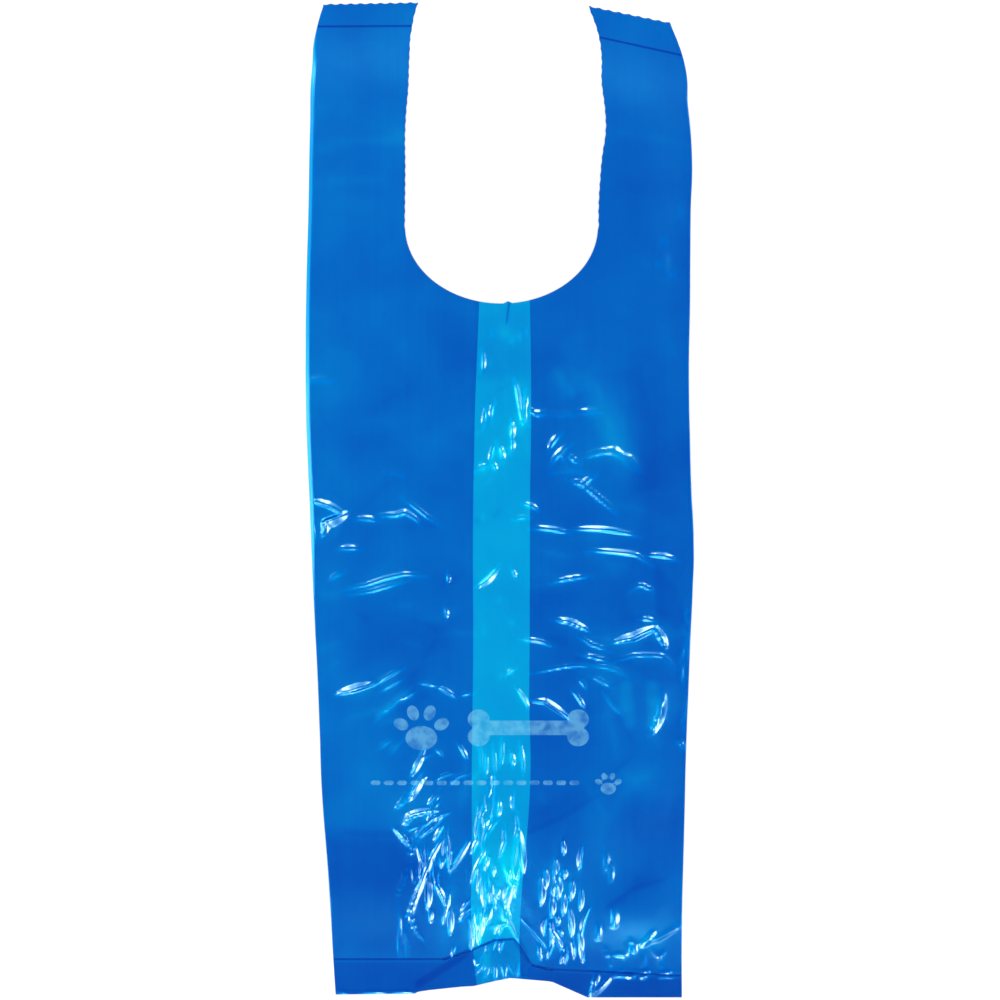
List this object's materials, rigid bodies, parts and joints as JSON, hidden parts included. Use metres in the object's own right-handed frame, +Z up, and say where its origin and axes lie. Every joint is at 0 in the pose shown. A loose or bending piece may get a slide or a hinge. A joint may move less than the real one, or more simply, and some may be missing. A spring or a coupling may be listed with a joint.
{
  "type": "dog waste bag",
  "caption": "Flat tie-handle bag of thin blue film with side gussets, welded across the base and the handle tops, with a U cut between the handles.",
  "frame": {"origin": "middle of the bag's outline, on the surface that it lies on", "axes": "+X across the bag to the right, +Y along it towards the handles, +Z up out of its front"},
  "size_m": [0.1288, 0.33, 0.0042],
  "materials": {
    "blue_film": "thin glossy tinted film, slightly crumpled, darker where more layers lie over each other"
  },
  "bodies": {
    "root": {"bag_film": "blue_film"}
  },
  "joints": []
}
